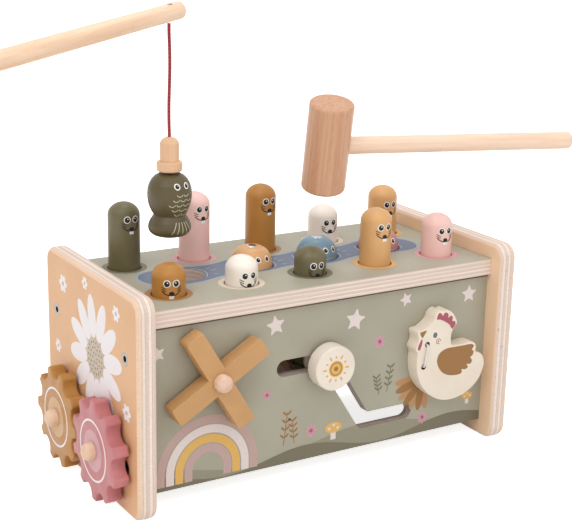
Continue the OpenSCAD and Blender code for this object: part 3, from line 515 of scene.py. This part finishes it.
INNER, OUTER = (corner.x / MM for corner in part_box("right_end_panel"))
dress(painted_ply("peach_ply_left", "#e1b186", "#dcab7f", 0, -OUTER, -1, inner=-INNER, veneer=2.4),
      "left_end_panel")
dress(painted_ply("peach_ply_right", "#e1b186", "#dcab7f", 0, OUTER, 1, inner=INNER, veneer=2.4),
      "right_end_panel")
white_ink = printed_ink("white_ink", "#f5eeef")
sand_ink = printed_ink("sand_ink", "#cdbcaa")
moss_ink = printed_ink("moss_ink", "#77755d")
for name, surface, lean in (
        ("left_panel_print", lambda x, y, h: (-OUTER - h, -x, y), 1),
        ("right_panel_print", lambda x, y, h: (OUTER + h, x, y), -1)):
    daisy = bmesh.new()
    middle = (10 * lean, 96)
    for k in range(12):
        angle = radians(30 * k + 9)
        ink_oval(daisy, 0, middle[0] + 29 * cos(angle), middle[1] + 29 * sin(angle), 31, 13.6, 30 * k + 9,
                 layer=1 + k % 2)
    ink_oval(daisy, 1, *middle, 29, layer=4)
    for ring, count in ((3.6, 6), (7.6, 12), (11.4, 18)):
        for k in range(count):
            angle = 2 * pi * k / count
            ink_oval(daisy, 2, middle[0] + ring * cos(angle), middle[1] + ring * sin(angle), 1.5, layer=5)
    for x, y, size in ((-46, 134, 13), (46, 138, 11), (-58, 84, 10), (61, 74, 12), (-6, 145, 9)):
        for k in range(6):
            angle = radians(60 * k)
            ink_oval(daisy, 0, x * lean + 0.3 * size * cos(angle), y + 0.3 * size * sin(angle), 0.46 * size,
                     0.34 * size, 60 * k, layer=1 + k % 2)
        ink_oval(daisy, 1, x * lean, y, 0.26 * size, layer=3)
    lay_print(name, daisy, surface, [white_ink, sand_ink, moss_ink], "bench")

# Bolts: zinc-plated hex-socket screws that draw the end panels on to the front and back panels.
# Their heads sit flush in counterbores.
dress(zinc_steel("zinc_plated_bolt", "#8d8780", 0.28), "panel_bolts")

# Top panel: the playing surface, plywood sprayed sage, with a printed stream along the middle
# and a ring of colour round each mole's hole.
TOP_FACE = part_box("top_panel")[1].z / MM
# the top's sage is a little lighter than the walls' sage: painted light, for the stronger light from above
dress(painted_ply("sage_ply_top_painted_lighter", "#aea997", "#a9a492", 2, TOP_FACE, 1, stream=True, pair=3.0), "top_panel")
ring_codes = {"front": ("#a97a4c", "#dccdb9", "#757158", "#dfae6c", "#d9a0a4"),
              "back": ("#7f7b66", "#d9a0a6", "#a97a4c", "#dccdb9", "#dfae6c")}
ring_inks, rings = [], bmesh.new()
for row, codes in ring_codes.items():
    for i, code in enumerate(codes, 1):
        hole = top_middle("mole_%s_%d" % (row, i))
        ink_arc(rings, len(ring_inks), hole.x, hole.y, 14.45, 3.7)
        ring_inks.append(printed_ink("ring_%s_%d" % (row, i), code))
lay_print("mole_rings", rings, lambda x, y, h: (x, y, TOP_FACE + h), ring_inks, "bench")
ripples = bmesh.new()
for x in (-84, -28, 28, 84):
    ink_arc(ripples, 0, x, 0, 18.0, 0.5, -42, 42)
    ink_arc(ripples, 0, x, 0, 18.0, 0.5, 150, 205)
for x in (-84, -28, 28):
    for start, end in (((22, 6), (26, 6.8)), ((23.5, 1), (28, 1.4)), ((21.5, -8), (25, -9))):
        ink_bar(ripples, 0, (x + start[0], start[1]), (x + end[0], end[1]), 0.5)
ripple_ink = printed_ink("ripple_ink", "#b9cbdc")
lay_print("stream_ripples", ripples, lambda x, y, h: (x, y, TOP_FACE + h), [ripple_ink],
          "bench")

# Front and back panels: thinner plywood, sprayed sage, with rolling hills along the foot.
# The front one has the slider's slot, and both have a print of arches, stars, sprigs and small flowers.
back_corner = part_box("back_panel")[1] / MM
# the top 2 mm of each wall's face take a line of painted shadow, the shade under the top panel
WALL_FACE, GAP_SHADOW_HEIGHT = back_corner.y, back_corner.z - 2
hills = (("#8f8a76", 24, 7, 190, 0.4), ("#736c58", 19, 5, 130, 2.4))
# their cut edges, which show in the slot, are darkened as painted shade
for name, node, side in (("sage_ply_front", "front_panel", -1), ("sage_ply_back", "back_panel", 1)):
    dress(painted_ply(name, "#a8a391", "#a39e8c", 1, side * WALL_FACE, side, hills, cut_edge_shade=0.62,
                      gap_shadow=GAP_SHADOW_HEIGHT), node)
blush_ink = printed_ink("blush_ink", "#e3d5d1")
clay_ink = printed_ink("clay_ink", "#c0a39c")
ochre_ink = printed_ink("ochre_ink", "#dfb161")
bark_ink = printed_ink("bark_ink", "#9a6f41")
petal_ink = printed_ink("petal_ink", "#cf9aa6")
wine_ink = printed_ink("wine_ink", "#a95864")
meadow_inks = [blush_ink, clay_ink, ochre_ink, bark_ink, petal_ink, moss_ink, wine_ink,
               printed_ink("tan_ink", "#b98d62")]


def star(sheet, x, y, size, turn):
    """A soft five-pointed star."""
    points = []
    for k in range(10):
        reach = size if k % 2 == 0 else 0.52 * size
        angle = radians(turn + 90 + 36 * k)
        points.append((x + reach * cos(angle), y + reach * sin(angle)))
    ink_shape(sheet, 0, points, steps=3)


def sprig(sheet, ink, x, y, tall, lean):
    """A stem with pairs of small leaves."""
    tip = Vector((x + lean, y + tall))
    ink_bar(sheet, ink, (x, y), tip, 0.7)
    for k in range(1, 5):
        spot = Vector((x, y)).lerp(tip, k / 4.4)
        for side in (-1, 1):
            ink_oval(sheet, ink, spot.x + 1.9 * side, spot.y + 1.6, 4.2, 1.5, 90 - 48 * side)


def small_daisy(sheet, x, y, size):
    """A round pink flower with a dark middle."""
    for turn in range(0, 360, 45):
        way = 0.32 * size * Vector((cos(radians(turn)), sin(radians(turn))))
        ink_oval(sheet, 4, x + way.x, y + way.y, 0.46 * size, 0.24 * size, turn)
    ink_oval(sheet, 6, x, y, 0.26 * size, layer=2)


for name, surface in (("front_print", lambda x, y, h: (x, -WALL_FACE - h, y)),
                      ("back_print", lambda x, y, h: (-x, WALL_FACE + h, y))):
    meadow = bmesh.new()
    for k, ink in enumerate((1, 0, 2, 1)):
        arch = 36 - 7 * k
        ink_arc(meadow, ink, -96, 23, arch, 6, 0, 180)
        for side in (-1, 1):
            ink_bar(meadow, ink, (-96 + side * arch, 16), (-96 + side * arch, 23), 6)
    for spot in ((-44, 118, 7.5, 8), (22, 112, 8.5, -10), (66, 121, 5.5, 20), (124, 117, 7, 0),
                 (-134, 112, 6, 15)):
        star(meadow, *spot)
    sprig(meadow, 3, -36, 27, 25, 3)
    sprig(meadow, 3, -27, 27, 19, -2)
    for k in range(7):
        angle = radians(178 + 17 * k)
        ink_oval(meadow, 3 if k % 2 else 7, 84 + 14 * cos(angle), 56 + 14 * sin(angle), 21, 6.4, 178 + 17 * k,
                 layer=1 + k % 2)
    sprig(meadow, 5, 52, 52, 20, 3)
    sprig(meadow, 5, 45, 51, 14, -3)
    for spot in ((44, 92, 9), (-13, 34, 9), (86, 25, 9), (-50, 68, 7)):
        small_daisy(meadow, *spot)
    for x, y, size in ((6, 30, 11), (128, 33, 8)):
        ink_bar(meadow, 0, (x, y - 0.6 * size), (x, y + 0.1 * size), 0.4 * size)
        ink_oval(meadow, 2, x, y + 0.25 * size, 1.3 * size, 0.75 * size, layer=2)
        for spot in ((-0.32, 0.2), (0.02, 0.42), (0.34, 0.18)):
            ink_oval(meadow, 0, x + spot[0] * size, y + spot[1] * size, 0.2 * size, layer=3)
    lay_print(name, meadow, surface, meadow_inks, "bench")

# Works inside: a birch ply shelf that guides the moles and carries the fish,
# and beech rockers on a steel axle, kept apart by wooden sleeves.
NO_PAINT = 999  # a painted face so far out that none of the piece reaches it
dress(painted_ply("bare_ply_shelf", "#e8d0b6", "#e0c5a8", 2, NO_PAINT, 1), "guide_shelf")
dress(bare_wood("beech_rocker", "#e9caa2", "#d6ae80", (0, 1, 0)), *["rocker_%d" % i for i in range(1, 6)])
dress(bare_wood("beech_sleeve", "#e9caa2", "#d6ae80", (1, 0, 0)), "rocker_spacers")
dress(zinc_steel("drawn_steel_axle", "#a6a8ab", 0.3), "rocker_axle")

# Moles: beech dowels with rounded tops, sprayed in one colour, with a printed face that looks to the front.
# Each front mole sinks as the back mole of its column rises. facings and raises set each print off true.
MOLE_RADIUS = 11.5
mole_paints = {"ochre": ("#b8813e", "#b17a38"), "cream": ("#f6ece0", "#f2e7da"),
               "olive": ("#70684b", "#696144"), "honey": ("#dba972", "#d5a269"),
               "pink": ("#f5ccc4", "#f0c4bc")}
mole_finishes = {name: sprayed_wood("sprayed_mole_" + name, *codes) for name, codes in mole_paints.items()}
mole_rows = {
    "front": (("ochre", "cream", "olive", "honey", "pink"), (-16, -1, -4, 0, -3), (0.4, 0, 0, 0, 0.6)),
    "back": (("olive", "pink", "ochre", "cream", "honey"), (4, 8, 6, -2, -1), (1.5, 1.1, 0.8, 0, -1.4))}
for row, (colours, facings, raises) in mole_rows.items():
    for i, (colour, facing, rise) in enumerate(zip(colours, facings, raises), 1):
        dress(mole_finishes[colour], "mole_%s_%d" % (row, i))
        top = top_middle("mole_%s_%d" % (row, i))
        face = bmesh.new()
        for side in (-1, 1):
            ink_oval(face, 0, 3.15 * side, -12.3, 5.0, 5.3)
            ink_oval(face, 1, 3.15 * side, -12.4, 3.75, 4.1, layer=2)
            ink_oval(face, 0, 2.75 * side, -11.7, 0.9, layer=3)
            for k in range(2):
                ink_bar(face, 1, (3.9 * side, -16.1 - 1.5 * k), (7.0 * side, -14.6 - 1.5 * k), 0.5)
            ink_bar(face, 0, (0.85 * side, -20.7), (0.85 * side, -22.8), 1.6)
        ink_arc(face, 1, 0, -12.35, 8.15, 0.7, 218, 322)
        ink_oval(face, 1, 0, -19.1, 3.6, 2.8, layer=2)

        def on_mole(x, y, height):
            angle, reach = radians(facing) + x / MOLE_RADIUS, MOLE_RADIUS + height + FILM
            return top.x + reach * sin(angle), top.y - reach * cos(angle), top.z + rise + y

        lay_print("mole_face_%s_%d" % (row, i), face, on_mole, [cream_ink, black_ink],
                  "%s_mole_%d" % (row, i), bend=True)

# Windmill: two plywood sails halved together, sprayed ochre, that spin on a beech peg.
# Sanding has eased every edge, so the piece stands for its sharp-edged solid.


def eased_copy(name, node, across, radius, finish, body, corners=0):
    """A flat piece whose rims are rounded over, in the place of a CAD node. across is the axis through it.
    radius is the rims' radius in mm, and corners that of its outer corners, if they are rounded too."""
    shape = bmesh.new()
    shape.from_mesh(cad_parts[node].data)
    bmesh.ops.remove_doubles(shape, verts=shape.verts[:], dist=0.002 * MM)
    bmesh.ops.dissolve_limit(shape, angle_limit=radians(0.6), verts=shape.verts[:], edges=shape.edges[:])
    shape.normal_update()
    if corners:
        uprights = [edge for edge in shape.edges if edge.is_convex and edge.calc_face_angle() > 1 and all(
            abs(face.normal[across]) < 0.01 for face in edge.link_faces)]
        bmesh.ops.bevel(shape, geom=uprights, offset=corners * MM, segments=5, profile=0.5, affect="EDGES",
                        material=-1)
        shape.normal_update()
    rims = [edge for edge in shape.edges if len(edge.link_faces) == 2 and sum(
        abs(face.normal[across]) > 0.99 for face in edge.link_faces) == 1]
    bmesh.ops.bevel(shape, geom=rims, offset=radius * MM, segments=3, profile=0.5, affect="EDGES",
                    material=-1, clamp_overlap=True)
    piece = add_piece(name, shape, [finish], body)
    piece.data.shade_smooth()
    piece.data.set_sharp_from_angle(angle=radians(32))
    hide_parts(node)
    return piece


sail_paint = sprayed_wood("sprayed_sail_ochre", "#c79969", "#c19361", 0.5)
eased_copy("windmill_cross", "windmill_sails", 1, 1.2, sail_paint, "windmill", corners=2)
side_beech = bare_wood("beech_peg_front", "#e2c1aa", "#d8b297", (0, 1, 0), pores=0.12)
dress(side_beech, "windmill_peg", "slider_stem")
dress(painted_ply("bare_ply_washer", "#e8d0b6", "#e0c5a8", 1, NO_PAINT, 1),
      "windmill_washer", "slider_keeper")

# Gears: thick plywood, sprayed all over, meshed on the left end panel and turning on beech pegs.
# Each face has a white ring and a paler middle.
gear_paints = {"ochre": ("#b88344", "#b17b3c", "#d6b18a"), "rose": ("#c37c7e", "#bb7375", "#d5a8ad")}
for name, (code, shade, pale) in gear_paints.items():
    gear_paint = sprayed_wood("sprayed_gear_" + name, code, shade, 0.46)
    eased_copy("gear_wheel_" + name, "gear_" + name, 0, 1.1, gear_paint, "gear_" + name)
    low, high = (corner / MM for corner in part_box("gear_" + name))
    hub = (low + high) / 2
    rings = bmesh.new()
    ink_arc(rings, 0, 0, 0, 21.3, 1.5)
    ink_arc(rings, 1, 0, 0, 9.55, 10.1)
    lay_print("gear_rings_" + name, rings, lambda x, y, h: (low.x - h, hub.y - x, hub.z + y),
              [white_ink, printed_ink("gear_middle_" + name, pale)], "gear_" + name)
dress(bare_wood("beech_peg_side", "#eac9af", "#e2bea0", (1, 0, 0), (0, 33, 39), (6, 40), pores=0.12),
      "gear_ochre_peg", "gear_rose_peg")
dress(painted_ply("bare_ply_gear_washer", "#e8d0b6", "#e0c5a8", 0, NO_PAINT, 1), "gear_washers")

# Slider: a thick plywood disc on a beech stem, sprayed cream all over, with a rounded rim and a printed sun.
# A keeper behind the panel holds it in the slot.
slider_paint = sprayed_wood("sprayed_slider_cream", "#ece0d2", "#e6d9ca", 0.5)
eased_copy("slider_button", "slider_disc", 1, 1.2, slider_paint, "slider")
sun = bmesh.new()
ink_oval(sun, 0, 0, 0, 12)
for k in range(12):
    way = Vector((cos(radians(30 * k)), sin(radians(30 * k))))
    ink_bar(sun, 0, way * 7.6, way * (10.6 if k % 2 == 0 else 9.4), 1.3)
ink_arc(sun, 1, 0, 0, 4.6, 0.7, layer=2)
ink_oval(sun, 1, 0, 0, 3.4, layer=2)
low, high = (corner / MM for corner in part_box("slider_disc"))
hub = (low + high) / 2
lay_print("slider_sun", sun, lambda x, y, h: (hub.x + x, low.y - h, hub.z + y), [ochre_ink, bark_ink],
          "slider")

# Hen: a plywood cut-out, sprayed cream and rounded over, with a printed comb, beak, eye and wing.
# White elastic is stitched through two holes in the hen and the panel, so that a pulled hen springs back.
hen_paint = sprayed_wood("sprayed_hen_cream", "#e9dccb", "#e4d6c4", 0.5)
hen = eased_copy("hen_cutout", "hen", 1, 1.2, hen_paint, "hen")
hen_place = Vector((98, 72))
high_hole, low_hole = hen_place + Vector((-20, 16)), hen_place + Vector((-22.5, -1))
# the faces round the two drilled holes take a dark brown finish: painted shade inside the holes
hen.data.materials.append(bare_wood("hole_painted_shade", "#5b4536", "#4a3628", (0, 1, 0)))
for facet in hen.data.polygons:
    spot = Vector((facet.center.x, facet.center.z)) / MM
    if min((spot - hole).length for hole in (high_hole, low_hole)) < 2.4:
        facet.material_index = 1
HEN_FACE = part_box("hen")[0].y / MM
features = bmesh.new()
ink_shape(features, 0, [
    (-12.4, 34), (-12, 37), (-10.6, 38.9), (-8.5, 38), (-7.1, 36.1), (-6, 38), (-3.8, 38.2), (-2.1, 36.6),
    (-2, 34), (0.2, 35.3), (2.1, 33.8), (1.7, 31.1), (4.2, 30.4), (4.9, 28.2), (3.2, 25.4), (1.8, 25),
    (-1.1, 28.8), (-5.6, 31.8), (-10.1, 33.9)])
ink_shape(features, 0, [(-25.3, 21), (-24.8, 18.1), (-26.5, 13), (-28.4, 13.4), (-28, 16.7)])
ink_shape(features, 1, [(-27.2, 26), (-25, 26.7), (-21.3, 27), (-23, 24.1), (-25, 22)], steps=3)
ink_oval(features, 2, -13.1, 22.5, 5.0, 5.4)
ink_oval(features, 3, -13.3, 22.3, 3.9, 4.6, layer=2)
ink_arc(features, 0, -10, 17, 1.9, 0.5, 0, 300)
ink_oval(features, 0, -10, 17, 1.4)
ink_shape(features, 1, [
    (-10.4, 1.7), (-8.4, 7.2), (-2.3, 10), (5.6, 10.2), (13.7, 10), (21, 9.9), (23.6, 8), (21.9, 5.3),
    (23.7, 3.8), (22.9, 0.9), (20.9, -0.5), (22.6, -3.3), (21.2, -5.7), (17.7, -5.5), (19, -8), (16.7, -9.4),
    (13.2, -8.8), (13.5, -11.1), (10.5, -12.5), (2.4, -11.7), (-4.2, -8.8), (-8.4, -4)])
slate_ink = printed_ink("slate_ink", "#6a706c")
lay_print("hen_features", features, lambda x, y, h: (hen_place.x + x, HEN_FACE - h, hen_place.y + y),
          [wine_ink, bark_ink, white_ink, slate_ink], "hen")
white_elastic = twisted_cotton("braided_white_elastic", "#efebe9", "#dcd6d8", 1.6)
elastic_diameter, knot_radius, knot_depth = 1.7, 2.2, -52.2
# from the upper knot out to the face, and back in at the lower hole: how far down from a hole, and how deep
down = (low_hole - high_hole).normalized()
half_stitch = [(0, -53.2), (0, -63.5), (0, -73.8), (0.5, -76.2), (2, -77.1), (5, -77.1)]
stitch = [(high_hole + down * s, y) for s, y in half_stitch]
stitch += [(low_hole - down * s, y) for s, y in reversed(half_stitch)]
path = new_cord("hen_elastic_path", [(spot.x, y, spot.y) for spot, y in stitch], elastic_diameter)
holder = bpy.data.objects.new("hen_elastic_path", path)
bpy.context.collection.objects.link(holder)
loop = bmesh.new()
loop.from_mesh(bpy.data.meshes.new_from_object(holder.evaluated_get(bpy.context.evaluated_depsgraph_get())))
bpy.data.objects.remove(holder)
for hole in (high_hole, low_hole):
    knot_place = Matrix.Translation(Vector((hole.x, knot_depth, hole.y)) * MM)
    bmesh.ops.create_icosphere(loop, subdivisions=3, radius=knot_radius * MM, matrix=knot_place)
elastic = add_piece("hen_elastic_loop", loop, [white_elastic], None)
elastic.data.shade_smooth()
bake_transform(elastic)
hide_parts("hen_elastic")

# Mallet: a turned and oiled head of darker, redder wood, with its ends rounded over.
# The handle is a pale beech dowel, glued in a blind hole in the head's side.
mallet_turn = Euler((radians(15.2), radians(0.2), radians(-17))).to_matrix()
head_middle = (11.4, -36.5, 234)
dress(bare_wood("oiled_red_beech", "#cf9f7e", "#c59171", mallet_turn.col[2], head_middle, (2.4, 110),
                gloss=0.34, pores=0.3), "mallet_head")
dress(bare_wood("sanded_beech_handle", "#f3d6bf", "#ebc9ae", mallet_turn.col[0], head_middle, (4, 60)),
      "mallet_handle")

# Studio: a pale floor that keeps a faint shadow, in an even white room.
# Two large soft lamps light the bench from the front and the left, and a small one overhead gives it a sheen.
floor_shape = bmesh.new()
bmesh.ops.create_grid(floor_shape, x_segments=1, y_segments=1, size=15)
floor_mesh = bpy.data.meshes.new("floor")
floor_shape.to_mesh(floor_mesh)
floor_shape.free()
floor = bpy.data.objects.new("floor", floor_mesh)
bpy.context.collection.objects.link(floor)
pale_floor, tree, shader = new_finish("pale_floor", Roughness=0.9)
shader.inputs["Base Color"].default_value = linear("#f6f6f4")
ray = add_node(tree, "LightPath")
shader.inputs["Emission Color"].default_value = (1, 1, 0.99, 1)
looked_at = add_node(tree, "Math", {0: ray.outputs["Is Camera Ray"], 1: ray.outputs["Is Glossy Ray"]},
                     operation="MAXIMUM")
seen = add_node(tree, "Math", {0: looked_at.outputs[0], 1: 0.79}, operation="MULTIPLY")
tree.links.new(seen.outputs[0], shader.inputs["Emission Strength"])
floor_mesh.materials.append(pale_floor)

world = bpy.data.worlds.new("white_room")
bpy.context.scene.world = world
world.use_nodes = True
tree = world.node_tree
background = tree.nodes["Background"]
background.inputs["Color"].default_value = (1, 1, 1, 1)
ray = add_node(tree, "LightPath")
looked_at = add_node(tree, "Math", {0: ray.outputs["Is Camera Ray"], 1: ray.outputs["Is Glossy Ray"]},
                     operation="MAXIMUM")
strength = add_node(tree, "MapRange", {"Value": looked_at.outputs[0], "To Min": 0.63, "To Max": 1.0})
tree.links.new(strength.outputs[0], background.inputs["Strength"])
for name, place, power, size in (("front_lamp", (0.5, -1.6, 1.9), 12.5, 2.0),
                                 ("side_lamp", (-1.05, -0.75, 1.8), 15, 1.3),
                                 ("top_lamp", (0.2, 0.35, 1.8), 5, 0.6)):
    lamp_data = bpy.data.lights.new(name, "AREA")
    lamp_data.energy = power
    lamp_data.size = size
    lamp = bpy.data.objects.new(name, lamp_data)
    bpy.context.collection.objects.link(lamp)
    aim = (Vector(place) - Vector((0, 0, 0.12))).to_track_quat("Z", "Y")
    lamp.matrix_world = Matrix.Translation(place) @ aim.to_matrix().to_4x4()
bpy.context.scene.view_settings.view_transform = "Standard"
